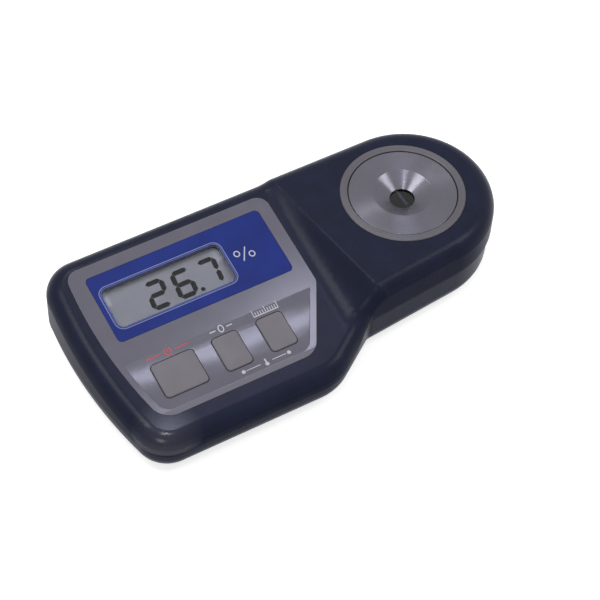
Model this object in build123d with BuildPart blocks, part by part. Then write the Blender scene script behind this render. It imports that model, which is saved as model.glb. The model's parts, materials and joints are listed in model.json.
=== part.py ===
"""Hand-held digital refractometer with a flat sample stage and a sloped display.

Origin: middle of the footprint, on the surface the feet stand on.
+X runs to the stage end, +Y to the straight back edge, +Z up. Millimetres.
"""

import os
from math import atan, cos, degrees, radians, sin, tan

from build123d import *

os.makedirs("parts", exist_ok=True)

# Overall size
overall_length = 175.0
overall_width = 85.0
overall_height = 35.0
foot_height = 1.2

# Plan outline of the upper case
head_radius = 33.1
head_taper = 5.5
neck_reach = 70.4
step_run = 21.5
neck_corner_radius = 3.0
step_corner_radius = 22.0
left_arc_radius = 190.0
left_arc_middle = 12.0
back_corner_radius = 13.5
front_corner_radius = 14.0

# Top surface: flat head, sloped display part and the ramp between them
display_front_height = 20.68
crease_back = 77.5
crease_front = 63.0
ramp_width_back = 4.0
ramp_width_front = 21.0
ramp_low_share = 0.55
ramp_high_share = 0.12
top_round = 6.5

# Shells
wall = 2.4
top_wall = 2.8
lower_inset = 1.0
floor_wall = 2.2
bottom_round = 8.0
seam_head = 19.2
seam_body = 12.9
seam_gap = 0.5
seam_ramp_start = 84.0
seam_ramp_length = 12.0
seal_width = 1.1
inner_round = 3.0

# Case screws
screw_radius = 1.25
screw_head_radius = 2.4
screw_head_height = 1.6
screw_bite = 6.0
boss_radius = 3.2
screw_slot_length = 2.6
screw_slot_width = 0.6
screw_slot_depth = 0.8
screw_from_edge = 12.5
screw_from_end = 15.5
screw_from_step = 9.6
screw_from_board = 4.5
neck_screw_reach = 22.0
neck_screw_front = 21.8
neck_screw_back = 19.7

# Front panel, in the display plane: u along X, v up the slope from the back edge
panel_thickness = 1.2
panel_from_back = 7.6
panel_from_front = 10.3
panel_from_neck = 11.8
panel_from_left = 8.8
panel_left_radius = 172.0
panel_left_drop = 20.3
panel_cut_height = 26.5
panel_cut_angle = 60.7
panel_corner = 5.0
panel_low_corner = 8.0
fit_gap = 0.1

# Key bay: shallow scoop in the panel, deepest along the row of keys
bay_inset = 2.4
bay_height = 22.6
bay_depth = 0.6

# Display
label_from_left = 6.7
label_from_right = 5.3
label_drop = 5.1
label_height = 28.9
label_thickness = 0.4
label_corner = 2.0
window_from_left = 33.7
window_drop = 0.65
window_width = 48.2
window_height = 17.1
window_corner = 2.5
window_lip = 1.2
display_border = 3.0
display_thickness = 1.8
display_frame_wall = 1.6
strip_width = 2.0

# Main board
board_depth = 5.4
board_thickness = 1.2
board_from_left = 2.7
board_past_window = 10.9
board_above_panel = 0.6
board_below_panel = 6.2
board_screw_radius = 1.0
board_screw_head = 1.9
board_screw_head_height = 1.2
board_boss_radius = 2.4
board_screw_inset = 3.4
board_corner = 3.0
board_screw_depth = 2.2
low_left_screw_drop = 22.2
low_right_screw_rise = 14.2
chip_size = 10.0
chip_place = 0.46

# Keys: centre and width of each as shares of the panel's width
key_places = {"start_key": (0.245, 0.205), "zero_key": (0.499, 0.125), "scale_key": (0.718, 0.126)}
key_from_bottom = 14.1
key_height = 14.3
key_corner = 1.6
key_rise = 0.1
key_travel = 0.5
key_chamfer = 0.3
key_gap = 0.3
key_flange = 1.2
key_flange_thickness = 1.0
mat_thickness = 0.6
mat_margin = 1.0
dome_gap = 0.1
dome_radius = 4.0
contact_radius = 2.5
contact_thickness = 0.2

# Sample stage and optics
stage_from_right = 35.5
stage_from_back = 32.7
ring_radius = 24.0
ring_width = 3.1
ring_rise = 0.4
groove_chamfer = 0.3
seat_depth = 2.2
seat_boss_radius = 26.5
seat_boss_depth = 7.0
bore_radius = 19.0
bore_gap = 0.1
well_radius = 11.5
well_depth = 3.5
prism_window = 4.8
lip_thickness = 0.5
prism_seal_thickness = 0.3
prism_length = 14.0
prism_width = 10.0
prism_height = 8.0
prism_slope = 30.0
prism_gap = 0.3
nut_height = 2.4
nut_radius = 23.0

housing_reach = 26.0
housing_half_width = 8.0
housing_end_height = 14.0
light_bore = 3.2
lens_reach = 19.5
lens_thickness = 2.0
ear_width = 7.0
ear_thickness = 3.0
small_board_thickness = 1.2
chip_thickness = 1.4
light_radius = 2.5
light_length = 4.0
light_tip_round = 2.0
probe_radius = 1.2
probe_length = 5.0
probe_offset = 9.0

# Battery and its cover
battery_length = 48.5
battery_width = 26.5
battery_from_left = 13.5
battery_from_back = 12.0
battery_lift = 0.3
battery_to_board = 0.8
battery_corner = 2.0
pad_thickness = 2.4
pad_width = 22.5
pad_height = 9.5
snap_margin = 1.0
terminal_radius = 3.0
terminal_height = 2.2
snap_thickness = 4.0
cover_thickness = 1.8
cover_margin = 1.2
cover_gap = 0.2
cover_past_battery = 3.5
rail_width = 1.5
rail_height = 1.0
rail_clearance = 0.15
upright_width = 0.9
cover_cap_length = 10.6
cover_cap_height = 6.0
grip_count = 5
grip_pitch = 2.4
grip_depth = 0.5
grip_width = 1.2
grip_length = 16.0
grip_reach = 14.0
bay_rib = 1.6
bay_rib_height = 12.0

# Feet
foot_radius = 4.5
foot_recess = 0.5
foot_chamfer = 0.4
foot_from_edge = 15.0
cover_foot_from_left = 19.5
left_foot_from_left = 31.5
right_foot_from_step = 23.6
head_foot_reach = 22.0
neck_foot_reach = 16.0
neck_foot_drop = 11.8

# Leads and flat cables
lead_radius = 0.6
lead_bend = 3.0
lead_places = {"positive_lead": 4.0, "negative_lead": 10.0}
ribbon_thickness = 0.3
ribbon_width = 6.0
ribbon_offset = 4.0
ribbon_drop = 3.0
ribbon_bend = 4.0
ribbon_rise = 14.0
ribbon_radius = 1.5
connector_height = 2.4
socket_height = 4.5
socket_length = 4.0
socket_margin = 0.5

# Values that follow from the sizes above
right_end = overall_length / 2
left_end = -overall_length / 2
back_edge = overall_width / 2
front_edge = -overall_width / 2
head_x = right_end - head_radius
head_y = back_edge - head_radius
stage_x = right_end - stage_from_right
stage_y = back_edge - stage_from_back
top_z = overall_height - ring_rise
base_z = foot_height
slope = (top_z - display_front_height) / overall_width
display_tilt = degrees(atan(slope))
neck_x = right_end - neck_reach
step_x = neck_x - step_run
beyond = 6.0
upright_limit = 0.01
level_limit = 0.9

display = Plane(
    origin=(0, back_edge, top_z),
    x_dir=(1, 0, 0),
    z_dir=(0, -sin(radians(display_tilt)), cos(radians(display_tilt))),
)


# Places in the display plane: u along X, v up the slope and zero at the back edge
panel_left = left_end + panel_from_left
panel_right = neck_x - panel_from_neck
panel_width = panel_right - panel_left
panel_top = -panel_from_back
panel_bottom = panel_from_front - overall_width / cos(radians(display_tilt))
panel_left_middle = panel_top - panel_left_drop
panel_cut_top = panel_bottom + panel_cut_height
label_left = panel_left + label_from_left
label_right = panel_right - label_from_right
label_top = panel_top - label_drop
label_bottom = label_top - label_height
window_u = panel_left + window_from_left
window_v = (label_top + label_bottom) / 2 - window_drop
key_v = panel_bottom + key_from_bottom
key_sizes = {
    name: (panel_left + place * panel_width, share * panel_width)
    for name, (place, share) in key_places.items()
}
bay_top = panel_bottom + bay_inset + bay_height
board_left = panel_left + board_from_left
board_right = window_u + window_width / 2 + board_past_window
board_top = panel_top + board_above_panel
board_bottom = panel_bottom + board_below_panel
board_under = board_depth + board_thickness
board_screw_places = [
    (board_left + board_screw_inset + board_corner, board_top - board_screw_inset),
    (board_right - board_screw_inset, board_top - board_screw_inset),
    (board_left + board_screw_inset, window_v - low_left_screw_drop),
    (board_right - board_screw_inset, key_v + low_right_screw_rise),
]

# Places in plan
screw_places = [
    (left_end + screw_from_end, front_edge + screw_from_edge),
    (step_x - screw_from_step, front_edge + screw_from_edge),
    (board_right + screw_from_board, back_edge - screw_from_edge),
    (stage_x - neck_screw_reach, stage_y - neck_screw_front),
    (stage_x - neck_screw_reach, stage_y + neck_screw_back),
]
foot_places = [
    (left_end + left_foot_from_left, front_edge + foot_from_edge),
    (step_x - right_foot_from_step, front_edge + foot_from_edge),
    (stage_x - neck_foot_reach, stage_y - neck_foot_drop),
    (stage_x + head_foot_reach, stage_y),
    ((board_right + screw_from_board + stage_x - neck_screw_reach) / 2, back_edge - screw_from_edge),
]


def surface_height(y):
    """Height of the sloped display surface above the table at a given Y."""
    return top_z - slope * (back_edge - y)


def case_outline(inset):
    """Plan outline of the case, drawn as lines and arcs and pulled in by inset."""
    taper = radians(head_taper)
    taper_x = head_x + head_radius * sin(taper)
    taper_y = head_y - head_radius * cos(taper)
    neck_y = taper_y - (taper_x - neck_x) * tan(taper)
    sag_back = left_arc_radius - (left_arc_radius**2 - (back_edge - left_arc_middle) ** 2) ** 0.5
    sag_front = left_arc_radius - (left_arc_radius**2 - (front_edge - left_arc_middle) ** 2) ** 0.5
    back_left = (left_end + sag_back, back_edge)
    front_left = (left_end + sag_front, front_edge)
    with BuildSketch() as outline:
        with BuildLine():
            Line((head_x, back_edge), back_left)
            ThreePointArc(back_left, (left_end, left_arc_middle), front_left)
            Polyline(front_left, (step_x, front_edge), (neck_x, neck_y), (taper_x, taper_y))
            CenterArc((head_x, head_y), head_radius, head_taper - 90, 180 - head_taper)
        make_face()
        fillet(outline.vertices().sort_by_distance(back_left)[0], back_corner_radius)
        fillet(outline.vertices().sort_by_distance(front_left)[0], front_corner_radius)
        fillet(outline.vertices().sort_by_distance((step_x, front_edge))[0], step_corner_radius)
        fillet(outline.vertices().sort_by_distance((neck_x, neck_y))[0], neck_corner_radius)
        if inset:
            offset(amount=-inset, kind=Kind.INTERSECTION)
    return outline.sketch


def under_top(lowered):
    """Space under the top surface, which is lofted between a front and a back section."""
    with BuildPart() as space:
        for y, crease, ramp in (
            (front_edge - beyond, right_end - crease_front, ramp_width_front),
            (back_edge + beyond, right_end - crease_back, ramp_width_back),
        ):
            high = top_z - lowered
            low = surface_height(y) - lowered
            valley = crease - ramp
            with BuildSketch(Plane.XZ.offset(-y)):
                with BuildLine():
                    Polyline(
                        (crease, high),
                        (right_end + beyond, high),
                        (right_end + beyond, -beyond),
                        (left_end - beyond, -beyond),
                        (left_end - beyond, low),
                        (valley, low),
                    )
                    Bezier(
                        (valley, low),
                        (valley + ramp_low_share * ramp, low),
                        (crease - ramp_high_share * ramp, high),
                        (crease, high),
                    )
                make_face()
        loft()
    return space.part


def under_seam(raised):
    """Space under the parting surface, which steps down from the head to the body."""
    ramp_end = right_end - seam_ramp_start + seam_ramp_length
    ramp_start = right_end - seam_ramp_start
    with BuildPart() as space:
        with BuildSketch(Plane.XZ.offset(-back_edge - beyond)):
            with BuildLine():
                Polyline(
                    (left_end - beyond, seam_body + raised),
                    (left_end - beyond, -beyond),
                    (right_end + beyond, -beyond),
                    (right_end + beyond, seam_head + raised),
                    (ramp_end, seam_head + raised),
                )
                Bezier(
                    (ramp_end, seam_head + raised),
                    (ramp_end - seam_ramp_length / 2, seam_head + raised),
                    (ramp_start + seam_ramp_length / 2, seam_body + raised),
                    (ramp_start, seam_body + raised),
                )
                Line((ramp_start, seam_body + raised), (left_end - beyond, seam_body + raised))
            make_face()
        extrude(amount=overall_width + 2 * beyond)
    return space.part


def panel_outline(grow):
    """Outline of the front panel in the display plane, grown for the recess it lies in."""
    cut_u = panel_right - (panel_cut_top - panel_bottom) / tan(radians(panel_cut_angle))
    sag_top = panel_left_radius - (panel_left_radius**2 - (panel_top - panel_left_middle) ** 2) ** 0.5
    sag_low = panel_left_radius - (panel_left_radius**2 - (panel_bottom - panel_left_middle) ** 2) ** 0.5
    top_left = (panel_left + sag_top, panel_top)
    low_left = (panel_left + sag_low, panel_bottom)
    with BuildSketch() as outline:
        with BuildLine():
            ThreePointArc(top_left, (panel_left, panel_left_middle), low_left)
            Polyline(
                low_left,
                (cut_u, panel_bottom),
                (panel_right, panel_cut_top),
                (panel_right, panel_top),
                top_left,
            )
        make_face()
        fillet(outline.vertices().group_by(Axis.Y)[0], panel_low_corner)
        fillet(outline.vertices().group_by(Axis.Y)[-1], panel_corner)
        fillet(outline.vertices().sort_by_distance((panel_right, panel_cut_top))[0], panel_corner)
        if grow:
            offset(amount=grow, kind=Kind.INTERSECTION)
    return outline.sketch


def bay_scoop():
    """Space of the key bay: the panel's outline pulled in, cut by a long cylinder along the keys."""
    scoop_radius = (bay_height**2 / 4 + bay_depth**2) / (2 * bay_depth)
    with BuildPart() as scoop:
        with BuildSketch(display.offset(-bay_depth)):
            add(panel_outline(-bay_inset))
            with Locations((window_u, bay_top)):
                Rectangle(
                    overall_length, overall_width, align=(Align.CENTER, Align.MIN), mode=Mode.SUBTRACT
                )
        extrude(amount=2 * bay_depth)
        bay_middle = display.from_local_coords((0, bay_top - bay_height / 2, scoop_radius - bay_depth))
        with BuildSketch(Plane(origin=bay_middle, x_dir=display.z_dir, z_dir=(1, 0, 0))):
            Circle(scoop_radius)
        extrude(amount=overall_length, both=True, mode=Mode.INTERSECT)
    return scoop.part


def window_outline(grow):
    """Rounded outline of the display window, grown by a border."""
    with BuildSketch() as outline:
        with Locations((window_u, window_v)):
            RectangleRounded(window_width + 2 * grow, window_height + 2 * grow, window_corner + grow)
    return outline.sketch


def key_outlines(grow):
    """Rounded outlines of the three keys, grown by a gap."""
    with BuildSketch() as outline:
        for u, width in key_sizes.values():
            with Locations((u, key_v)):
                RectangleRounded(width + 2 * grow, key_height + 2 * grow, key_corner + grow)
    return outline.sketch


def board_outline():
    """Outline of the main board in the display plane."""
    with BuildSketch() as outline:
        with Locations(((board_left + board_right) / 2, (board_top + board_bottom) / 2)):
            RectangleRounded(board_right - board_left, board_top - board_bottom, board_corner)
    return outline.sketch


def under_board_height(y):
    """Height of the main board's underside above the table at a given Y."""
    return surface_height(y) - board_under / cos(radians(display_tilt))


def rim_edges(part, low_z):
    """Edges that run level around the upright walls of a part, above a given height."""
    walls = part.faces().filter_by(lambda face: abs(face.normal_at().Z) < upright_limit)
    edges = walls.edges().filter_by(lambda edge: edge.center().Z > low_z)
    return edges.filter_by(lambda edge: abs(edge.tangent_at(0.5).Z) < level_limit)


def save(piece, name):
    """Label a finished piece and write it to its own file."""
    piece.label = name
    export_step(piece, f"parts/{name}.step")


# Upper case: moulded shell, rounded rim, stage seat, screw bosses and the openings of the panel
with BuildPart() as upper_cavity:
    with BuildSketch(Plane.XY.offset(-beyond)):
        add(case_outline(wall))
    extrude(amount=overall_height + 2 * beyond)
    add(under_top(top_wall), mode=Mode.INTERSECT)
    fillet(rim_edges(upper_cavity, seam_body), inner_round)

with BuildPart() as upper_case:
    with BuildSketch(Plane.XY.offset(seam_body)):
        add(case_outline(0))
    extrude(amount=overall_height)
    add(under_top(0), mode=Mode.INTERSECT)
    fillet(rim_edges(upper_case, seam_body + wall), top_round)
    add(under_seam(seam_gap), mode=Mode.SUBTRACT)
    add(upper_cavity.part, mode=Mode.SUBTRACT)
    # Thick collar that carries the sample stage
    with BuildSketch(Plane.XY.offset(top_z - seat_boss_depth)):
        with Locations((stage_x, stage_y)):
            Circle(seat_boss_radius)
    extrude(amount=seat_boss_depth - top_wall / 2)
    with BuildSketch(Plane.XY.offset(top_z - seat_boss_depth)):
        with Locations((stage_x, stage_y)):
            Circle(bore_radius)
    extrude(amount=seat_boss_depth + beyond, mode=Mode.SUBTRACT)
    with BuildSketch(Plane.XY.offset(top_z - seat_depth)):
        with Locations((stage_x, stage_y)):
            Circle(ring_radius + fit_gap)
    extrude(amount=seat_depth + beyond, mode=Mode.SUBTRACT)
    # Case screw bosses hang from the ceiling down to the level of the seam
    for x, y in screw_places:
        foot = seam_head if x > neck_x else seam_body
        ceiling = top_z if x > neck_x else surface_height(y)
        with BuildSketch(Plane.XY.offset(foot)):
            with Locations((x, y)):
                Circle(boss_radius)
                Circle(screw_radius, mode=Mode.SUBTRACT)
        extrude(amount=ceiling - top_wall / 2 - foot)
    # Board bosses stand square to the sloped display part
    with BuildSketch(display.offset(-board_depth)):
        with Locations(*board_screw_places):
            Circle(board_boss_radius)
            Circle(board_screw_radius, mode=Mode.SUBTRACT)
    extrude(amount=board_depth - top_wall / 2 - panel_thickness / 2)
    # Recess of the front panel, then the window and key openings through its floor
    with BuildSketch(display.offset(beyond)):
        add(panel_outline(fit_gap))
    extrude(amount=-beyond - panel_thickness, mode=Mode.SUBTRACT)
    with BuildSketch(display.offset(-panel_thickness)):
        add(window_outline(window_lip + fit_gap))
        add(key_outlines(key_gap))
    extrude(amount=panel_thickness - top_wall - beyond, mode=Mode.SUBTRACT)
save(upper_case.part, "upper_case")


# Lower case: tray with a deep rounded bottom edge, bosses, battery bay and cover opening
battery_left = left_end + battery_from_left
battery_right = battery_left + battery_length
battery_back = back_edge - battery_from_back
battery_front = battery_back - battery_width
battery_middle = (battery_front + battery_back) / 2
cover_right = battery_right + cover_past_battery
cover_foot_x = left_end + cover_foot_from_left
cover_front = battery_front - cover_margin
cover_back = battery_back + cover_margin
cover_end = cover_right - cover_gap
cap_right = left_end + cover_cap_length
bay_left = battery_left - pad_thickness - bay_rib
rail_front = cover_front - rail_width
rail_back = cover_back + rail_width
rail_z = base_z + floor_wall + rail_clearance
lip_z = rail_z + rail_height + 2 * rail_clearance
cover_top = base_z + cover_thickness
battery_z = cover_top + battery_lift
battery_height = under_board_height(battery_front) - battery_to_board - battery_z

with BuildPart() as lower_cavity:
    with BuildSketch(Plane.XY.offset(base_z + floor_wall)):
        add(case_outline(lower_inset + wall))
    extrude(amount=overall_height)
    cavity_floor = lower_cavity.faces().sort_by(Axis.Z)[0]
    fillet(cavity_floor.edges(), bottom_round - wall)

with BuildPart() as lower_block:
    with BuildSketch(Plane.XY.offset(base_z)):
        add(case_outline(lower_inset))
    extrude(amount=seam_head - base_z)
    fillet(lower_block.faces().sort_by(Axis.Z)[0].edges(), bottom_round)
    add(under_seam(0), mode=Mode.INTERSECT)

with BuildPart() as lower_case:
    add(lower_block.part)
    add(lower_cavity.part, mode=Mode.SUBTRACT)
    for x, y in screw_places:
        head = seam_head if x > neck_x else seam_body
        with BuildSketch(Plane.XY.offset(base_z + floor_wall / 2)):
            with Locations((x, y)):
                Circle(boss_radius)
        extrude(amount=head - base_z - floor_wall / 2)
    # Bay walls with lips over the rails of the cover, and a bridge at the left end
    for outer, inner, outward in (
        (rail_front - rail_clearance, battery_front - fit_gap, -bay_rib),
        (rail_back + rail_clearance, battery_back + fit_gap, bay_rib),
    ):
        with BuildSketch(Plane.YZ.offset(bay_left)):
            with BuildLine():
                Polyline(
                    (outer, base_z + floor_wall / 2),
                    (outer + outward, base_z + floor_wall / 2),
                    (outer + outward, lip_z + bay_rib_height),
                    (outer, lip_z + bay_rib_height),
                    (outer, lip_z + bay_rib),
                    (inner, lip_z + bay_rib),
                    (inner, lip_z),
                    (outer, lip_z),
                    close=True,
                )
            make_face()
        extrude(amount=battery_right - bay_left)
    with BuildSketch(Plane.XY.offset(lip_z)):
        with Locations((bay_left + bay_rib / 2, battery_middle)):
            Rectangle(bay_rib, rail_back - rail_front + 2 * bay_rib)
    extrude(amount=bay_rib_height)
    # Opening of the battery cover: a slot in the floor and a wider notch in the end wall
    with BuildSketch(Plane.XY):
        with Locations(((left_end - beyond + cover_right) / 2, battery_middle)):
            Rectangle(cover_right - left_end + beyond, cover_back - cover_front)
    extrude(amount=base_z + floor_wall, mode=Mode.SUBTRACT)
    with BuildSketch(Plane.XY):
        with Locations((left_end + cover_cap_length / 2 - beyond / 2, battery_middle)):
            Rectangle(
                cover_cap_length + beyond + 2 * cover_gap, rail_back - rail_front + 2 * cover_gap
            )
    extrude(amount=base_z + cover_cap_height, mode=Mode.SUBTRACT)
    # Screw holes from below and the shallow seats of the feet
    with Locations(*[(x, y, base_z) for x, y in screw_places]):
        with Locations(Rotation(180, 0, 0)):
            CounterBoreHole(
                screw_radius + fit_gap, screw_head_radius + fit_gap, screw_head_height + fit_gap
            )
    with BuildSketch(Plane.XY.offset(base_z)):
        with Locations(*foot_places):
            Circle(foot_radius)
    extrude(amount=foot_recess, mode=Mode.SUBTRACT)
save(lower_case.part, "lower_case")

# Case seal, squeezed between the rims of the two shells
with BuildPart() as case_seal:
    with BuildSketch(Plane.XY.offset(seam_body)):
        add(case_outline(wall - seal_width))
        add(case_outline(wall), mode=Mode.SUBTRACT)
    extrude(amount=seam_head + seam_gap - seam_body)
    add(under_seam(seam_gap), mode=Mode.INTERSECT)
    add(under_seam(0), mode=Mode.SUBTRACT)
save(case_seal.part, "case_seal")

# Battery cover: slides out to the left on two rails
with BuildPart() as battery_cover:
    with BuildSketch(Plane.XY):
        with Locations(((left_end + cover_end) / 2, battery_middle)):
            Rectangle(cover_end - left_end, cover_back - cover_front - 2 * cover_gap)
    extrude(amount=cover_top)
    for edge, inward in ((cover_front + cover_gap, 1), (cover_back - cover_gap, -1)):
        upright_y = edge + inward * upright_width / 2
        rail_y = edge - inward * (cover_gap + rail_width - upright_width) / 2
        with BuildSketch(Plane.XY.offset(base_z)):
            with Locations(((cap_right + cover_end) / 2, upright_y)):
                Rectangle(cover_end - cap_right, upright_width)
        extrude(amount=rail_z + rail_height - base_z)
        with BuildSketch(Plane.XY.offset(rail_z)):
            with Locations(((cap_right + cover_end) / 2, rail_y)):
                Rectangle(cover_end - cap_right, cover_gap + rail_width + upright_width)
        extrude(amount=rail_height)
    with BuildSketch(Plane.XY):
        with Locations((left_end + cover_cap_length / 2, battery_middle)):
            Rectangle(cover_cap_length, rail_back - rail_front)
    extrude(amount=base_z + cover_cap_height - cover_gap)
    add(lower_block.part, mode=Mode.INTERSECT)
    with BuildSketch(Plane.XY.offset(base_z)):
        with Locations((cover_right - grip_reach, battery_middle)):
            with GridLocations(grip_pitch, 0, grip_count, 1):
                Rectangle(grip_width, grip_length)
        with Locations((cover_foot_x, battery_middle)):
            Circle(foot_radius)
    extrude(amount=grip_depth, mode=Mode.SUBTRACT)
save(battery_cover.part, "battery_cover")

# Feet: soft discs let into the floor, one of them on the battery cover
with BuildPart() as rubber_feet:
    with BuildSketch():
        with Locations(*foot_places):
            Circle(foot_radius)
    extrude(amount=base_z + foot_recess)
    chamfer(rubber_feet.faces().group_by(Axis.Z)[0].edges(), foot_chamfer)
save(rubber_feet.part, "rubber_feet")

with BuildPart() as cover_foot:
    with BuildSketch():
        with Locations((cover_foot_x, battery_middle)):
            Circle(foot_radius)
    extrude(amount=base_z + grip_depth)
    chamfer(cover_foot.faces().group_by(Axis.Z)[0].edges(), foot_chamfer)
save(cover_foot.part, "cover_foot")

# Case screws: pan heads in the floor, shanks up into the bosses of the upper case
with BuildPart() as case_screws:
    for x, y in screw_places:
        seat = base_z + screw_head_height
        top = (seam_head if x > neck_x else seam_body) + screw_bite
        with BuildSketch(Plane.XY.offset(base_z)):
            with Locations((x, y)):
                Circle(screw_head_radius)
        extrude(amount=screw_head_height)
        with BuildSketch(Plane.XY.offset(seat)):
            with Locations((x, y)):
                Circle(screw_radius)
        extrude(amount=top - seat)
    with BuildSketch(Plane.XY.offset(base_z)):
        with Locations(*screw_places):
            Rectangle(screw_slot_length, screw_slot_width)
            Rectangle(screw_slot_width, screw_slot_length)
    extrude(amount=screw_slot_depth, mode=Mode.SUBTRACT)
save(case_screws.part, "case_screws")

# Front panel with the seat of the label, the window and the three key openings
with BuildPart() as front_panel:
    with BuildSketch(display.offset(-panel_thickness)):
        add(panel_outline(0))
        add(window_outline(0), mode=Mode.SUBTRACT)
        add(key_outlines(key_gap), mode=Mode.SUBTRACT)
    extrude(amount=panel_thickness)
    with BuildSketch(display.offset(-label_thickness)):
        with Locations(((label_left + label_right) / 2, (label_top + label_bottom) / 2)):
            RectangleRounded(
                label_right - label_left + 2 * fit_gap, label_top - label_bottom + 2 * fit_gap, label_corner
            )
    extrude(amount=label_thickness, mode=Mode.SUBTRACT)
    add(bay_scoop(), mode=Mode.SUBTRACT)
save(front_panel.part, "front_panel")

with BuildPart() as display_label:
    with BuildSketch(display.offset(-label_thickness)):
        with Locations(((label_left + label_right) / 2, (label_top + label_bottom) / 2)):
            RectangleRounded(label_right - label_left, label_top - label_bottom, label_corner)
        add(window_outline(0), mode=Mode.SUBTRACT)
    extrude(amount=label_thickness)
save(display_label.part, "display_label")

# Window: clear plate held under the rim of the panel opening
with BuildPart() as display_window:
    with BuildSketch(display.offset(-panel_thickness)):
        add(window_outline(window_lip))
    extrude(amount=panel_thickness - top_wall)
save(display_window.part, "display_window")

# Display cell, its frame and the contact strips that press it against the board
glass_width = window_width + 2 * display_border
glass_height = window_height + 2 * display_border
glass_bottom = top_wall + display_thickness
with BuildPart() as display_glass:
    with BuildSketch(display.offset(-glass_bottom)):
        with Locations((window_u, window_v)):
            Rectangle(glass_width, glass_height)
    extrude(amount=display_thickness)
save(display_glass.part, "display_glass")

with BuildPart() as display_frame:
    with BuildSketch(display.offset(-board_depth)):
        with Locations((window_u, window_v)):
            RectangleRounded(
                glass_width + 2 * (fit_gap + display_frame_wall),
                glass_height + 2 * (fit_gap + display_frame_wall),
                display_frame_wall,
            )
            Rectangle(glass_width + 2 * fit_gap, glass_height + 2 * fit_gap, mode=Mode.SUBTRACT)
    extrude(amount=board_depth - top_wall)
save(display_frame.part, "display_frame")

with BuildPart() as contact_strips:
    with BuildSketch(display.offset(-board_depth)):
        with Locations((window_u, window_v)):
            with GridLocations(0, glass_height - strip_width - 2 * fit_gap, 1, 2):
                Rectangle(glass_width - 2 * display_border, strip_width)
    extrude(amount=board_depth - glass_bottom)
save(contact_strips.part, "contact_strips")

# Main board with its screws, processor and cable sockets
with BuildPart() as main_board:
    with BuildSketch(display.offset(-board_under)):
        add(board_outline())
        with Locations(*board_screw_places):
            Circle(board_screw_radius + fit_gap, mode=Mode.SUBTRACT)
    extrude(amount=board_thickness)
save(main_board.part, "main_board")

with BuildPart() as board_screws:
    with BuildSketch(display.offset(-board_under)):
        with Locations(*board_screw_places):
            Circle(board_screw_head)
    extrude(amount=-board_screw_head_height)
    with BuildSketch(display.offset(-board_under)):
        with Locations(*board_screw_places):
            Circle(board_screw_radius)
    extrude(amount=board_thickness + board_screw_depth)
save(board_screws.part, "board_screws")

with BuildPart() as processor:
    with BuildSketch(display.offset(-board_under)):
        with Locations((panel_left + chip_place * panel_width, key_v)):
            Rectangle(chip_size, chip_size)
    extrude(amount=-chip_thickness)
save(processor.part, "processor")

# Keys: caps with a flange under the wall, moving square to the display plane
flange_top = top_wall + fit_gap
flange_bottom = flange_top + key_flange_thickness
press_axis = Axis(display.origin, display.z_dir)
for name, (u, width) in key_sizes.items():
    with BuildPart() as key:
        with BuildSketch(display.offset(-flange_bottom)):
            with Locations((u, key_v)):
                RectangleRounded(width, key_height, key_corner)
        extrude(amount=flange_bottom + key_rise)
        chamfer(key.faces().filter_by(press_axis).sort_by(Axis.Z)[-1].edges(), key_chamfer)
        with BuildSketch(display.offset(-flange_bottom)):
            with Locations((u, key_v)):
                RectangleRounded(width + 2 * key_flange, key_height + 2 * key_flange, key_corner)
        extrude(amount=key_flange_thickness)
    save(key.part, name)

# Key mat: one soft sheet on the board with a dome under each key, and the contacts under the domes
dome_top = flange_bottom + key_travel + dome_gap
mat_left = min(u - width / 2 for u, width in key_sizes.values()) - mat_margin
mat_right = max(u + width / 2 for u, width in key_sizes.values()) + mat_margin
with BuildPart() as key_mat:
    with BuildSketch(display.offset(-board_depth)):
        with Locations(((mat_left + mat_right) / 2, key_v)):
            Rectangle(mat_right - mat_left, key_height)
    extrude(amount=mat_thickness)
    with BuildSketch(display.offset(-board_depth)):
        for u, width in key_sizes.values():
            with Locations((u, key_v)):
                Circle(dome_radius)
    extrude(amount=board_depth - dome_top)
    with BuildSketch(display.offset(-board_depth)):
        for u, width in key_sizes.values():
            with Locations((u, key_v)):
                Circle(contact_radius + key_gap)
    extrude(amount=contact_thickness + fit_gap, mode=Mode.SUBTRACT)
save(key_mat.part, "key_mat")

with BuildPart() as key_contacts:
    with BuildSketch(display.offset(-board_depth)):
        for u, width in key_sizes.values():
            with Locations((u, key_v)):
                Circle(contact_radius)
    extrude(amount=contact_thickness)
save(key_contacts.part, "key_contacts")

# Sample stage: turned disc with a flange, a conical well and a window over the prism
stage_axis = Plane(origin=(stage_x, stage_y, 0), x_dir=(1, 0, 0), z_dir=(0, -1, 0))
flange_radius = ring_radius - ring_width
stage_radius = bore_radius - bore_gap
nut_bottom = top_z - seat_boss_depth - nut_height
lip_z_low = top_z - well_depth - lip_thickness
prism_z = lip_z_low - prism_seal_thickness
beam_x = cos(radians(prism_slope))
beam_z = -sin(radians(prism_slope))


def beam_plane(side, reach):
    """Plane square to the light path on one side (-1 or 1), at a distance from the prism's top."""
    return Plane(
        origin=(stage_x + side * reach * beam_x, stage_y, prism_z + reach * beam_z),
        x_dir=(0, 1, 0),
        z_dir=(side * beam_x, 0, beam_z),
    )


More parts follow.
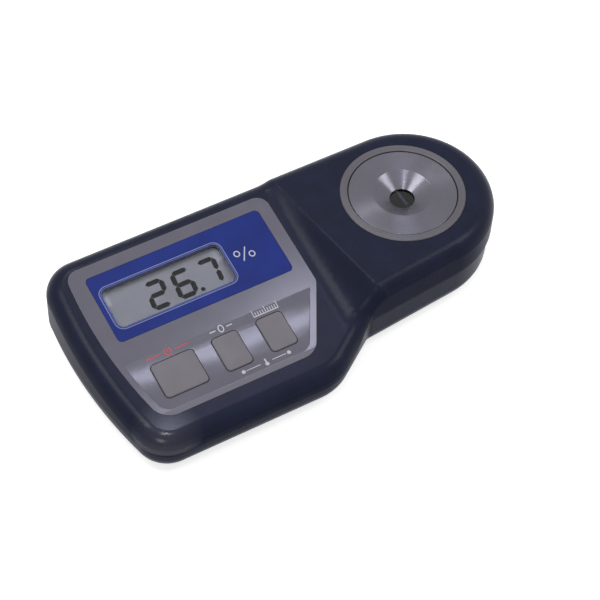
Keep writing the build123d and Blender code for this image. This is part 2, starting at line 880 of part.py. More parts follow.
with BuildPart() as sample_stage:
    with BuildSketch(stage_axis):
        with BuildLine():
            Polyline(
                (prism_window, nut_bottom),
                (stage_radius, nut_bottom),
                (stage_radius, top_z - seat_depth),
                (flange_radius, top_z - seat_depth),
                (flange_radius, top_z - groove_chamfer),
                (flange_radius - groove_chamfer, top_z),
                (well_radius, top_z),
                (prism_window, top_z - well_depth),
                close=True,
            )
        make_face()
    revolve(axis=Axis((stage_x, stage_y, 0), (0, 0, 1)))
    with BuildSketch(Plane.XY.offset(nut_bottom)):
        with Locations((stage_x, stage_y)):
            Rectangle(prism_length + 2 * fit_gap, prism_width + 2 * fit_gap)
    extrude(amount=lip_z_low - nut_bottom, mode=Mode.SUBTRACT)
    with BuildSketch(Plane.XY.offset(nut_bottom)):
        with Locations((stage_x, stage_y + probe_offset + housing_half_width)):
            Circle(probe_radius + fit_gap)
    extrude(amount=probe_length, mode=Mode.SUBTRACT)
    for side in (-1, 1):
        with BuildSketch(beam_plane(side, prism_window)):
            Circle(light_bore)
        extrude(amount=housing_reach, mode=Mode.SUBTRACT)
    with BuildSketch(Plane.XY.offset(nut_bottom)):
        with Locations((stage_x, stage_y)):
            with GridLocations(0, 2 * housing_half_width + ear_width, 1, 2):
                Circle(board_screw_radius)
    extrude(amount=ear_thickness, mode=Mode.SUBTRACT)
save(sample_stage.part, "sample_stage")

# Stage ring: raised rim around the disc
with BuildPart() as stage_ring:
    with BuildSketch(stage_axis):
        with BuildLine():
            Polyline(
                (flange_radius + fit_gap, top_z - seat_depth),
                (ring_radius, top_z - seat_depth),
                (ring_radius, overall_height - groove_chamfer),
                (ring_radius - groove_chamfer, overall_height),
                (flange_radius + fit_gap + groove_chamfer, overall_height),
                (flange_radius + fit_gap, overall_height - groove_chamfer),
                close=True,
            )
        make_face()
    revolve(axis=Axis((stage_x, stage_y, 0), (0, 0, 1)))
save(stage_ring.part, "stage_ring")

with BuildPart() as stage_nut:
    with BuildSketch(Plane.XY.offset(nut_bottom)):
        with Locations((stage_x, stage_y)):
            RegularPolygon(nut_radius, 8)
            Circle(stage_radius + fit_gap / 2, mode=Mode.SUBTRACT)
    extrude(amount=nut_height)
save(stage_nut.part, "stage_nut")

# Prism: trapezium block with its flat top under the well, and the seal around the window
with BuildPart() as prism:
    with BuildSketch(stage_axis.offset(-prism_width / 2)):
        with BuildLine():
            drift = prism_height * tan(radians(prism_slope))
            Polyline(
                (-prism_length / 2, prism_z),
                (prism_length / 2, prism_z),
                (prism_length / 2 - drift, prism_z - prism_height),
                (drift - prism_length / 2, prism_z - prism_height),
                close=True,
            )
        make_face()
    extrude(amount=prism_width)
save(prism.part, "prism")

with BuildPart() as prism_seal:
    with BuildSketch(Plane.XY.offset(prism_z)):
        with Locations((stage_x, stage_y)):
            Rectangle(prism_length, prism_width)
            Circle(prism_window, mode=Mode.SUBTRACT)
    extrude(amount=prism_seal_thickness)
save(prism_seal.part, "prism_seal")

# Optics housing: block whose slanted ends stand square to the light path
end_drop = housing_end_height / 2 * beam_x
end_z = prism_z + housing_reach * beam_z
bottom_half = housing_reach * beam_x + housing_end_height / 2 * beam_z
top_half = bottom_half + (nut_bottom - end_z + end_drop) * tan(radians(prism_slope))
with BuildPart() as optics_housing:
    with BuildSketch(stage_axis.offset(-housing_half_width)):
        with BuildLine():
            Polyline(
                (-top_half, nut_bottom),
                (top_half, nut_bottom),
                (bottom_half, end_z - end_drop),
                (-bottom_half, end_z - end_drop),
                close=True,
            )
        make_face()
    extrude(amount=2 * housing_half_width)
    with BuildSketch(Plane.XY.offset(nut_bottom)):
        with Locations((stage_x, stage_y)):
            Rectangle(ear_width, 2 * (housing_half_width + ear_width))
    extrude(amount=-ear_thickness)
    with BuildSketch(Plane.XY.offset(nut_bottom)):
        with Locations((stage_x, stage_y)):
            Rectangle(prism_length, prism_width + 2 * fit_gap)
    extrude(amount=prism_z - prism_height - nut_bottom - prism_gap, mode=Mode.SUBTRACT)
    for side in (-1, 1):
        with BuildSketch(beam_plane(side, prism_window)):
            Circle(light_bore)
        extrude(amount=housing_reach, mode=Mode.SUBTRACT)
    with BuildSketch(Plane.XY.offset(nut_bottom)):
        with Locations((stage_x, stage_y)):
            with GridLocations(0, 2 * housing_half_width + ear_width, 1, 2):
                Circle(board_screw_radius + fit_gap)
    extrude(amount=-ear_thickness, mode=Mode.SUBTRACT)
save(optics_housing.part, "optics_housing")

with BuildPart() as optics_screws:
    with BuildSketch(Plane.XY.offset(nut_bottom - ear_thickness)):
        with Locations((stage_x, stage_y)):
            with GridLocations(0, 2 * housing_half_width + ear_width, 1, 2):
                Circle(board_screw_head)
    extrude(amount=-board_screw_head_height)
    with BuildSketch(Plane.XY.offset(nut_bottom - ear_thickness)):
        with Locations((stage_x, stage_y)):
            with GridLocations(0, 2 * housing_half_width + ear_width, 1, 2):
                Circle(board_screw_radius)
    extrude(amount=2 * ear_thickness - fit_gap)
save(optics_screws.part, "optics_screws")

# Lenses, light source and line sensor along the two light paths
for side, name in ((-1, "collimating_lens"), (1, "imaging_lens")):
    with BuildPart() as lens:
        with BuildSketch(beam_plane(side, lens_reach - lens_thickness / 2)):
            Circle(light_bore)
        extrude(amount=lens_thickness)
    save(lens.part, name)

for side, name in ((-1, "light_board"), (1, "sensor_board")):
    with BuildPart() as board:
        with BuildSketch(beam_plane(side, housing_reach)):
            Rectangle(2 * housing_half_width, housing_end_height)
        extrude(amount=small_board_thickness)
    save(board.part, name)

with BuildPart() as light_source:
    with BuildSketch(beam_plane(-1, housing_reach)):
        Circle(light_radius)
    extrude(amount=-light_length)
    light_rims = light_source.edges().filter_by(GeomType.CIRCLE)
    fillet(light_rims.sort_by_distance(beam_plane(-1, 0).origin)[0], light_tip_round)
save(light_source.part, "light_source")

with BuildPart() as line_sensor:
    with BuildSketch(beam_plane(1, housing_reach)):
        Rectangle(2 * light_radius, light_radius)
    extrude(amount=-chip_thickness)
save(line_sensor.part, "line_sensor")

with BuildPart() as temperature_sensor:
    with BuildSketch(Plane.XY.offset(nut_bottom)):
        with Locations((stage_x, stage_y + probe_offset + housing_half_width)):
            Circle(probe_radius)
    extrude(amount=probe_length)
save(temperature_sensor.part, "temperature_sensor")

# Battery, snap and leads
terminal_span = battery_width / 4
with BuildPart() as battery:
    with BuildSketch(Plane.YZ.offset(battery_left)):
        with Locations((battery_middle, battery_z + battery_height / 2)):
            RectangleRounded(battery_width, battery_height, battery_corner)
    extrude(amount=battery_length)
    with BuildSketch(Plane.YZ.offset(battery_right)):
        with Locations((battery_middle, battery_z + battery_height / 2)):
            with GridLocations(2 * terminal_span, 0, 2, 1):
                Circle(terminal_radius)
    extrude(amount=terminal_height)
save(battery.part, "battery")

with BuildPart() as battery_snap:
    with BuildSketch(Plane.YZ.offset(battery_right + fit_gap)):
        with Locations((battery_middle, battery_z + battery_height / 2)):
            RectangleRounded(
                battery_width - 2 * snap_margin, battery_height - 2 * snap_margin, battery_corner
            )
    extrude(amount=snap_thickness)
    with BuildSketch(Plane.YZ.offset(battery_right)):
        with Locations((battery_middle, battery_z + battery_height / 2)):
            with GridLocations(2 * terminal_span, 0, 2, 1):
                Circle(terminal_radius + fit_gap)
    extrude(amount=terminal_height + fit_gap, mode=Mode.SUBTRACT)
save(battery_snap.part, "battery_snap")

with BuildPart() as battery_pad:
    with BuildSketch(Plane.YZ.offset(bay_left + bay_rib)):
        with Locations((battery_middle, battery_z + battery_height / 2)):
            Rectangle(pad_width, pad_height)
    extrude(amount=pad_thickness - fit_gap)
save(battery_pad.part, "battery_pad")

snap_right = battery_right + fit_gap + snap_thickness
lead_z = battery_z + battery_height / 2
for name, inset in lead_places.items():
    y = battery_back - inset
    with BuildPart() as lead:
        with BuildLine() as route:
            FilletPolyline(
                (snap_right, y, lead_z),
                (snap_right + lead_bend, y, lead_z),
                (snap_right + lead_bend, y, under_board_height(y - lead_radius)),
                radius=lead_bend - lead_radius,
            )
        with BuildSketch(Plane.YZ.offset(snap_right)):
            with Locations((y, lead_z)):
                Circle(lead_radius)
        sweep()
    save(lead.part, name)

# Cable sockets under the main board and the two flat cables to the optics
socket_right = board_right - 2 * board_corner
led_y = stage_y - ribbon_offset
sensor_y = stage_y + ribbon_offset
socket_z = under_board_height(stage_y) - socket_height
with BuildPart() as cable_sockets:
    with BuildSketch(Plane.XY.offset(socket_z)):
        with Locations((socket_right - socket_length / 2, stage_y)):
            with GridLocations(0, 2 * ribbon_offset, 1, 2):
                Rectangle(socket_length, ribbon_width + 2 * socket_margin)
    extrude(amount=overall_height - socket_z)
    split(bisect_by=display.offset(-board_under), keep=Keep.BOTTOM)
save(cable_sockets.part, "cable_sockets")

ribbon_z = socket_z + connector_height / 2
for name, side, y, low_z in (
    ("light_cable", -1, led_y, end_z - end_drop),
    ("sensor_cable", 1, sensor_y, end_z - end_drop - ribbon_drop),
):
    tail = beam_plane(side, housing_reach + small_board_thickness).origin
    tail_x = tail.X - side * housing_end_height / 4 * abs(beam_z)
    tail_z = tail.Z - housing_end_height / 4 * beam_x
    out_x = tail_x + side * ribbon_bend * beam_x
    out_z = tail_z + ribbon_bend * beam_z
    points = [(tail_x, y, tail_z), (out_x, y, out_z)]
    if side > 0:
        points.append((out_x, y, low_z))
    points.append((socket_right + ribbon_rise, y, low_z))
    points.append((socket_right + ribbon_bend, y, ribbon_z))
    points.append((socket_right, y, ribbon_z))
    with BuildPart() as cable:
        with BuildLine() as route:
            FilletPolyline(*points, radius=ribbon_radius)
        with BuildSketch(Plane(origin=route.line @ 0, x_dir=(0, 1, 0), z_dir=route.line % 0)):
            Rectangle(ribbon_width, ribbon_thickness)
        sweep()
    save(cable.part, name)
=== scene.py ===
# %% [markdown]
# # Dressing a hand-held digital refractometer
# A refractometer reads the sugar in a few drops of juice. The drops go into a steel well over a
# glass prism, and the reading shows on a sloped display. The solid model already has every piece
# in its true place, so this lesson only adds what a solid modeller leaves out: smooth shading,
# finishes, printed marks, the digits of the display, and a small photo studio.

import json

import bpy
import numpy as np
from mathutils import Matrix


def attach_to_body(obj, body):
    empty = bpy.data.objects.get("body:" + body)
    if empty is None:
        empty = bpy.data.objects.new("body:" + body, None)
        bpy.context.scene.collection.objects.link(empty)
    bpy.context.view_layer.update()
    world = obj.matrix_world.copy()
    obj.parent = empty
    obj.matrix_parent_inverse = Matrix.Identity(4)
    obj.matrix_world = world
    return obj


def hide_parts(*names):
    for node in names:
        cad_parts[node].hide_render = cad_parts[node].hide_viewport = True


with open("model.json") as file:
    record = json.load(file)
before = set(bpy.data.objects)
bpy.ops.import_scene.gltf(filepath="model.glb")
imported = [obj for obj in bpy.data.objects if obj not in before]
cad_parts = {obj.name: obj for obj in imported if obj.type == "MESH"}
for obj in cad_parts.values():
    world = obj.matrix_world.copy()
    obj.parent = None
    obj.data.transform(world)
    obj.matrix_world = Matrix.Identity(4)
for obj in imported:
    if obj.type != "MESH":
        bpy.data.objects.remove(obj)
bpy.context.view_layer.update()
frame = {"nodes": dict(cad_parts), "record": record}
slots = {row["node"]: row["material_slot"] for row in frame["record"]["subparts"]}
bodies = {
    node: body for body, nodes in frame["record"]["behaviour"]["bodies"].items() for node in nodes
}

# %% [markdown]
# ## The camera
# The photograph was matched beforehand: the round stage ring gave the tilt and the straight edges
# gave the turn. A matched camera is best written as a direction, a roll and a distance from a
# point of the object, because each number then says something a photographer would recognise.


# %% Helper: a place and three directions as one matrix
def standing(across, upward, away, place):
    """Matrix whose columns are three directions, square to each other, and a place."""
    matrix = np.eye(4)
    matrix[:3] = np.column_stack([across, upward, away, place])
    return Matrix(matrix)


# %% Aim the camera
mm = 0.001
ring_middle = np.array([51.95, 9.83, 34.6]) * mm
azimuth = np.radians(-32.2)
elevation = np.radians(52.03)
roll = np.radians(3.11)
side_shift = 38.89 * mm
height_shift = 40.76 * mm
distance = 757.8 * mm

back = np.array(
    [
        np.sin(azimuth) * np.cos(elevation),
        -np.cos(azimuth) * np.cos(elevation),
        np.sin(elevation),
    ]
)
level = np.array([np.cos(azimuth), np.sin(azimuth), 0.0])
upward = np.cross(back, level)
right = np.cos(roll) * level + np.sin(roll) * upward
up = np.cos(roll) * upward - np.sin(roll) * level
eye = ring_middle - side_shift * right - height_shift * up + distance * back

lens = bpy.data.cameras.new("camera")
lens.lens = 120.0
lens.sensor_width = 36.0
lens.clip_start = 0.01
camera = bpy.data.objects.new("camera", lens)
bpy.context.scene.collection.objects.link(camera)
camera.matrix_world = standing(right, up, back, eye)
bpy.context.scene.camera = camera
print("camera stands at", np.round(eye, 3))

# %% [markdown]
# ## Meshes from grids
# Every new surface here is a function of two parameters, worked out for a whole grid of points at
# once. One helper turns such a grid into a mesh. Neighbouring points make quads, and a direction
# that comes back to its start is joined to itself, so there is no seam.


# %% Helper: a grid of points becomes a mesh
def add_mesh(name, points, faces):
    """Put points and faces into a new object at the origin."""
    mesh = bpy.data.meshes.new(name)
    mesh.from_pydata(np.asarray(points).tolist(), [], [np.asarray(face).tolist() for face in faces])
    mesh.validate()
    mesh.update()
    piece = bpy.data.objects.new(name, mesh)
    bpy.context.scene.collection.objects.link(piece)
    return piece


def grid_faces(rows, columns, loop_rows=False, loop_columns=False):
    """Quads of a grid: each point with the next in its row and the two below them in turn."""
    row = np.arange(rows if loop_rows else rows - 1)[:, None]
    column = np.arange(columns if loop_columns else columns - 1)[None, :]
    next_row = (row + 1) % rows
    next_column = (column + 1) % columns
    corners = [
        row * columns + column,
        row * columns + next_column,
        next_row * columns + next_column,
        next_row * columns + column,
    ]
    return np.stack([corner.ravel() for corner in corners], axis=1)


# %% Helpers: shading, and a place in the frame
def shade(piece, angle):
    """Smooth shading that keeps edges sharper than the given angle."""
    piece.data.shade_smooth()
    piece.data.set_sharp_from_angle(angle=np.radians(angle))


def attach(piece, body, slot, *nodes):
    """Let a piece move with its body and hide the solids it replaces; slot is not used."""
    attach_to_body(piece, body)
    if nodes:
        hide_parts(*nodes)


# %% [markdown]
# ## Places on the sloped display part
# The display part is a plane that leans towards the user. Printing, digits and marks are laid out
# in that plane with u along the case and v up the slope, and one function lifts them into space.
# The keys lie in a shallow scoop, so marks there follow the curve of a long cylinder.

# %% Helper: from the display plane to space
back_edge = 42.5
display_top = 34.6
lean = np.radians(9.3)
bay_top = -50.8
bay_height = 22.6
bay_depth = 0.6
bay_radius = (bay_height**2 / 4 + bay_depth**2) / (2 * bay_depth)


def scoop_depth(v):
    """Depth of the key bay: how far a long cylinder reaches below the panel at v."""
    reach = v - (bay_top - bay_height / 2)
    inside = np.sqrt(np.maximum(bay_radius**2 - reach**2, 0))
    return np.maximum(inside - (bay_radius - bay_depth), 0)


def on_display(points, in_bay=False):
    """Lift (u, v, w) in millimetres to space: along X, up the slope, and square to it."""
    u, v, w = np.asarray(points, float).T
    if in_bay:
        w = w - scoop_depth(v)
    y = back_edge + v * np.cos(lean) - w * np.sin(lean)
    z = display_top + v * np.sin(lean) + w * np.cos(lean)
    return np.stack([u, y, z], axis=1) * mm


print("top of the display plane:", np.round(on_display([[0, 0, 0]])[0], 4))

# %% [markdown]
# ## Finishes
# No real surface has one flat colour. Moulded plastic has a fine spark-eroded grain, turned steel
# has rings, and a circuit board has a weave under its lacquer. Each finish below mixes two shades
# by a slow noise, lets the roughness wander a little, and adds a fine bump for the grain.


# %% Helpers: start a finish, or open it again
def reopen(material):
    """Nodes, links and main shader of a material that exists already."""
    nodes = material.node_tree.nodes
    shader = next(node for node in nodes if node.type == "BSDF_PRINCIPLED")
    return nodes, material.node_tree.links, shader


def start_finish(name):
    """A new material with its object coordinates and its main shader."""
    material = bpy.data.materials.new(name)
    material.use_nodes = True
    nodes, links, shader = reopen(material)
    place = nodes.new("ShaderNodeTexCoord")
    return material, nodes, links, shader, place.outputs["Object"]


# %% Helpers: noise, blends and ranges
def add_noise(nodes, links, place, size, detail=2.0):
    """Noise whose blobs have a given size in millimetres."""
    noise = nodes.new("ShaderNodeTexNoise")
    noise.inputs["Scale"].default_value = 1.0 / (size * mm)
    noise.inputs["Detail"].default_value = detail
    links.new(place, noise.inputs["Vector"])
    return noise.outputs["Fac"]


def add_mix(nodes, links, share, first, second):
    """Blend two colours by a share between 0 and 1; the second may come from another node."""
    mix = nodes.new("ShaderNodeMix")
    mix.data_type = "RGBA"
    mix.inputs["A"].default_value = (*first, 1.0)
    if isinstance(second, bpy.types.NodeSocket):
        links.new(second, mix.inputs["B"])
    else:
        mix.inputs["B"].default_value = (*second, 1.0)
    links.new(share, mix.inputs["Factor"])
    return mix.outputs["Result"]


def add_math(nodes, links, operation, first, second):
    """One arithmetic step on two values; the second may be a plain number."""
    step = nodes.new("ShaderNodeMath")
    step.operation = operation
    links.new(first, step.inputs[0])
    if isinstance(second, bpy.types.NodeSocket):
        links.new(second, step.inputs[1])
    else:
        step.inputs[1].default_value = second
    return step.outputs["Value"]


def add_range(nodes, links, value, low, high, start=0.3, end=0.7):
    """Map start to low and end to high, and hold there beyond; the defaults suit a noise."""
    span = nodes.new("ShaderNodeMapRange")
    span.inputs["From Min"].default_value = start
    span.inputs["From Max"].default_value = end
    span.inputs["To Min"].default_value = low
    span.inputs["To Max"].default_value = high
    links.new(value, span.inputs["Value"])
    return span.outputs["Result"]


# %% Helper: the shader that a material shows
def set_surface(nodes, links, surface):
    """Send a shader to the output of its material."""
    output = next(node for node in nodes if node.type == "OUTPUT_MATERIAL")
    links.new(surface, output.inputs["Surface"])


# %% [markdown]
# ### Soft edges
# Nothing real has a perfectly sharp edge, and the thin bright line along an edge is what tells
# the eye that a thing is solid. The bevel node looks at the faces round a point and bends the
# shading there as if the edge had a tiny round, so the meshes can stay as light as they are.


# %% Helper: tiny rounds on one finish
def add_edges(nodes, links, shader, value, depth, radius):
    """Bump of a given depth on top of edges rounded by radius, both in millimetres."""
    edge = nodes.new("ShaderNodeBevel")
    edge.samples = 6
    edge.inputs["Radius"].default_value = radius * mm
    bump = nodes.new("ShaderNodeBump")
    bump.inputs["Distance"].default_value = depth * mm
    links.new(value, bump.inputs["Height"])
    links.new(edge.outputs["Normal"], bump.inputs["Normal"])
    links.new(bump.outputs["Normal"], shader.inputs["Normal"])


# %% Finish: anything with a fine grain
def grained(
    name, colour, roughness, grain, depth, contrast=0.12, metal=0.0, specular=0.5, edge=0.15
):
    """Finish with wandering colour and roughness, a fine grain and softly rounded edges."""
    material, nodes, links, shader, place = start_finish(name)
    colour = np.array(colour)
    slow = add_range(nodes, links, add_noise(nodes, links, place, 9.0), 0.0, 1.0)
    darker, paler = colour * (1 - contrast), np.minimum(colour * (1 + contrast), 1)
    links.new(add_mix(nodes, links, slow, darker, paler), shader.inputs["Base Color"])
    fine = add_noise(nodes, links, place, grain)
    rough = add_range(nodes, links, fine, roughness * 0.88, min(roughness * 1.12, 1.0))
    links.new(rough, shader.inputs["Roughness"])
    shader.inputs["Metallic"].default_value = metal
    shader.inputs["Specular IOR Level"].default_value = specular
    add_edges(nodes, links, shader, fine, depth, edge)
    return material


# %% [markdown]
# ### Moulded shell
# The two shells leave the mould upwards and downwards, so their tops can be smooth, while their
# sides drag along the steel and come out duller. The side of a shell is where its normal lies
# flat. Colour and gloss are also painted darker where the sky within reach is mostly shut off,
# which is what the ambient occlusion node measures: this is painted shade in the seam, the gaps
# and under the overhang.


# %% Finish: moulded shell
painted_crevice_shade = (0.0005, 0.0005, 0.0010)
side_to_top = (0.15, 0.75)


def moulded_shell(name, colour, roughness, top_gloss, side_gloss, reach, shut, open_sky):
    """Grained plastic, duller on its sides, with painted shade that deepens from open_sky to shut
    within reach.
    """
    material = grained(name, colour, roughness, 0.40, 0.004, 0.15, specular=top_gloss, edge=0.12)
    nodes, links, shader = reopen(material)
    tint = shader.inputs["Base Color"].links[0].from_socket
    # Painted shade: the colour and the gloss darken where the ambient occlusion is low.
    sky = nodes.new("ShaderNodeAmbientOcclusion")
    sky.samples = 12
    sky.inputs["Distance"].default_value = reach * mm
    share = add_range(nodes, links, sky.outputs["AO"], 0.0, 1.0, shut, open_sky)
    links.new(add_mix(nodes, links, share, painted_crevice_shade, tint), shader.inputs["Base Color"])
    facing = nodes.new("ShaderNodeTexCoord")
    split = nodes.new("ShaderNodeSeparateXYZ")
    links.new(facing.outputs["Normal"], split.inputs["Vector"])
    gloss = add_range(nodes, links, split.outputs["Z"], side_gloss, top_gloss, *side_to_top)
    faded = add_math(nodes, links, "MULTIPLY", gloss, share)
    links.new(faded, shader.inputs["Specular IOR Level"])
    return material


# %% [markdown]
# ### Corner worn smooth
# The front corner lies in the palm, and handling polishes the grain there, so a lamp draws one
# small bright spot on it. The finish is blended towards a smoother one by the distance from the
# middle of the worn place.


# %% Finish: a place polished by handling
def wear_smooth(material, place, reach, gloss, roughness):
    """Blend gloss and roughness by 1 - distance / reach from a place, both in millimetres."""
    nodes, links, shader = reopen(material)
    here = nodes.new("ShaderNodeTexCoord")
    away = nodes.new("ShaderNodeVectorMath")
    away.operation = "DISTANCE"
    away.inputs[1].default_value = np.array(place) * mm
    links.new(here.outputs["Object"], away.inputs[0])
    worn = add_range(nodes, links, away.outputs["Value"], 1.0, 0.0, 0.0, reach * mm)
    for socket, polished in (("Specular IOR Level", gloss), ("Roughness", roughness)):
        blend = nodes.new("ShaderNodeMix")
        links.new(shader.inputs[socket].links[0].from_socket, blend.inputs["A"])
        blend.inputs["B"].default_value = polished
        links.new(worn, blend.inputs["Factor"])
        links.new(blend.outputs["Result"], shader.inputs[socket])


# %% [markdown]
# ### Panel film
# The grey film is glossy where the keys and the label lie, so a lamp draws a band in its scoop.
# Its front lip, below the scoop, is the bare matt edge of the panel. One place along Y tells the
# two apart, so a range of Y blends from lip to film within a fraction of a millimetre.


# %% Finish: glossy film with a matt front lip
lip_gloss = 0.1
lip_roughness = 0.55


def lipped_film(name, colour, lip_colour, roughness, gloss, lip_end, blend):
    """Film that turns matt and paler where Y is below lip_end, both lengths in millimetres."""
    material = grained(name, colour, roughness, 0.25, 0.002, 0.05, specular=gloss, edge=0.04)
    nodes, links, shader = reopen(material)
    here = nodes.new("ShaderNodeTexCoord")
    split = nodes.new("ShaderNodeSeparateXYZ")
    links.new(here.outputs["Object"], split.inputs["Vector"])
    ends = ((lip_end - blend) * mm, lip_end * mm)
    share = add_range(nodes, links, split.outputs["Y"], 0.0, 1.0, *ends)
    tint = shader.inputs["Base Color"].links[0].from_socket
    links.new(add_mix(nodes, links, share, lip_colour, tint), shader.inputs["Base Color"])
    dulled = add_range(nodes, links, share, lip_gloss, gloss, 0.0, 1.0)
    links.new(dulled, shader.inputs["Specular IOR Level"])
    film_rough = shader.inputs["Roughness"].links[0].from_socket
    lip_rough = add_range(nodes, links, share, lip_roughness, 0.0, 0.0, 1.0)
    rougher = add_math(nodes, links, "MAXIMUM", film_rough, lip_rough)
    links.new(rougher, shader.inputs["Roughness"])
    return material


# %% [markdown]
# ### Turned steel
# A lathe leaves rings. Across the rings the steel is rough, along them it is smooth, and that
# gives the bright wedges that a turned disc shows. The rough direction points away from the axis:
# it is the place on the piece less the place of the axis, laid flat.


# %% Finish: turned steel
def turned_steel(name, colour, centre, roughness, rings, depth, stretch):
    """Metal with rings: a noise of the distance from an upright axis through centre."""
    material, nodes, links, shader, place = start_finish(name)
    offset = nodes.new("ShaderNodeVectorMath")
    offset.operation = "SUBTRACT"
    offset.inputs[1].default_value = (centre[0] * mm, centre[1] * mm, 0.0)
    links.new(place, offset.inputs[0])
    outward = nodes.new("ShaderNodeVectorMath")
    outward.operation = "MULTIPLY"
    outward.inputs[1].default_value = (1.0, 1.0, 0.0)
    links.new(offset.outputs["Vector"], outward.inputs[0])
    length = nodes.new("ShaderNodeVectorMath")
    length.operation = "LENGTH"
    links.new(outward.outputs["Vector"], length.inputs[0])
    ring_noise = nodes.new("ShaderNodeTexNoise")
    ring_noise.noise_dimensions = "1D"
    ring_noise.inputs["Scale"].default_value = 1.0 / (rings * mm)
    ring_noise.inputs["Detail"].default_value = 3.0
    links.new(length.outputs["Value"], ring_noise.inputs["W"])
    colour = np.array(colour)
    tint = add_mix(nodes, links, ring_noise.outputs["Fac"], colour * 0.82, colour * 1.18)
    links.new(tint, shader.inputs["Base Color"])
    patches = add_noise(nodes, links, place, 6.0)
    rough = add_range(nodes, links, patches, roughness * 0.85, roughness * 1.15)
    links.new(rough, shader.inputs["Roughness"])
    shader.inputs["Metallic"].default_value = 1.0
    shader.inputs["Anisotropic"].default_value = stretch
    links.new(outward.outputs["Vector"], shader.inputs["Tangent"])
    add_edges(nodes, links, shader, ring_noise.outputs["Fac"], depth, 0.12)
    return material


# %% [markdown]
# ### Clear pieces
# A thin clear window should tint and reflect, but not bend or darken what lies behind it. Mixing a
# transparent shader with a mirror by the Fresnel effect does that without noise. The prism and the
# lenses are thick blocks, so they bend light as real glass does.


# %% Finish: clear window
def clear_window(name, tint):
    """Transparent sheet that mirrors more at a flat angle, with faint smears in its gloss."""
    material, nodes, links, shader, place = start_finish(name)
    nodes.remove(shader)
    through = nodes.new("ShaderNodeBsdfTransparent")
    smear = add_noise(nodes, links, place, 12.0)
    links.new(add_mix(nodes, links, smear, np.array(tint) * 0.97, tint), through.inputs["Color"])
    mirror = nodes.new("ShaderNodeBsdfGlossy")
    links.new(add_range(nodes, links, smear, 0.04, 0.08), mirror.inputs["Roughness"])
    fresnel = nodes.new("ShaderNodeFresnel")
    fresnel.inputs["IOR"].default_value = 1.40
    mix = nodes.new("ShaderNodeMixShader")
    links.new(fresnel.outputs["Fac"], mix.inputs["Fac"])
    links.new(through.outputs["BSDF"], mix.inputs[1])
    links.new(mirror.outputs["BSDF"], mix.inputs[2])
    set_surface(nodes, links, mix.outputs["Shader"])
    return material


# %% Finish: solid glass
def solid_glass(name, tint, index):
    """Polished block that bends light, with a faint haze in its polish."""
    material, nodes, links, shader, place = start_finish(name)
    haze = add_noise(nodes, links, place, 4.0)
    links.new(add_mix(nodes, links, haze, np.array(tint) * 0.92, tint), shader.inputs["Base Color"])
    links.new(add_range(nodes, links, haze, 0.02, 0.06), shader.inputs["Roughness"])
    shader.inputs["Transmission Weight"].default_value = 1.0
    shader.inputs["IOR"].default_value = index
    return material


# %% [markdown]
# ### Hidden pieces
# The pieces inside the case are sealed, but they deserve their own look too. A circuit board shows
# copper tracks under green lacquer, drawn here by a brick pattern whose joints are the tracks. The
# battery has a dark jacket with a copper band at the terminal end.


# %% Finish: circuit board
def tracked_board(name):
    """Green lacquer over a net of copper tracks 0.4 mm wide."""
    material, nodes, links, shader, place = start_finish(name)
    tracks = nodes.new("ShaderNodeTexBrick")
    tracks.inputs["Scale"].default_value = 1.0
    tracks.inputs["Brick Width"].default_value = 7.0 * mm
    tracks.inputs["Row Height"].default_value = 2.2 * mm
    tracks.inputs["Mortar Size"].default_value = 0.2 * mm
    tracks.inputs["Color1"].default_value = (0.012, 0.105, 0.042, 1.0)
    tracks.inputs["Color2"].default_value = (0.018, 0.130, 0.052, 1.0)
    tracks.inputs["Mortar"].default_value = (0.060, 0.230, 0.075, 1.0)
    links.new(place, tracks.inputs["Vector"])
    links.new(tracks.outputs["Color"], shader.inputs["Base Color"])
    grain = add_noise(nodes, links, place, 0.8)
    links.new(add_range(nodes, links, grain, 0.28, 0.40), shader.inputs["Roughness"])
    add_edges(nodes, links, shader, tracks.outputs["Fac"], 0.02, 0.1)
    return material


# %% Finish: battery jacket
def battery_wrap(name, band_start, band_end):
    """Black jacket up to band_start along X, a copper band to band_end, then plain metal."""
    material, nodes, links, shader, place = start_finish(name)
    split = nodes.new("ShaderNodeSeparateXYZ")
    links.new(place, split.inputs["Vector"])
    places = nodes.new("ShaderNodeMapRange")
    places.inputs["From Min"].default_value = 2 * band_start * mm - band_end * mm
    places.inputs["From Max"].default_value = 2 * band_end * mm - band_start * mm
    links.new(split.outputs["X"], places.inputs["Value"])
    bands = nodes.new("ShaderNodeValToRGB")
    bands.color_ramp.interpolation = "CONSTANT"
    bands.color_ramp.elements[0].color = (0.018, 0.018, 0.021, 1.0)
    bands.color_ramp.elements[1].position = 1 / 3
    bands.color_ramp.elements[1].color = (0.50, 0.24, 0.09, 1.0)
    plain = bands.color_ramp.elements.new(2 / 3)
    plain.color = (0.55, 0.54, 0.52, 1.0)
    links.new(places.outputs["Result"], bands.inputs["Fac"])
    links.new(bands.outputs["Color"], shader.inputs["Base Color"])
    scuffs = add_noise(nodes, links, place, 1.5)
    links.new(add_range(nodes, links, scuffs, 0.25, 0.45), shader.inputs["Roughness"])
    shader.inputs["Metallic"].default_value = 0.6
    add_edges(nodes, links, shader, scuffs, 0.01, 0.2)
    return material


# %% [markdown]
# ### What shows on the outside
# Each finish is made once and shared. Colours are linear light, so the navy of the case is about
# a hundredth and the grey of the panel about a tenth. A grained finish names its colour, its
# roughness, and the size and depth of its grain in millimetres.

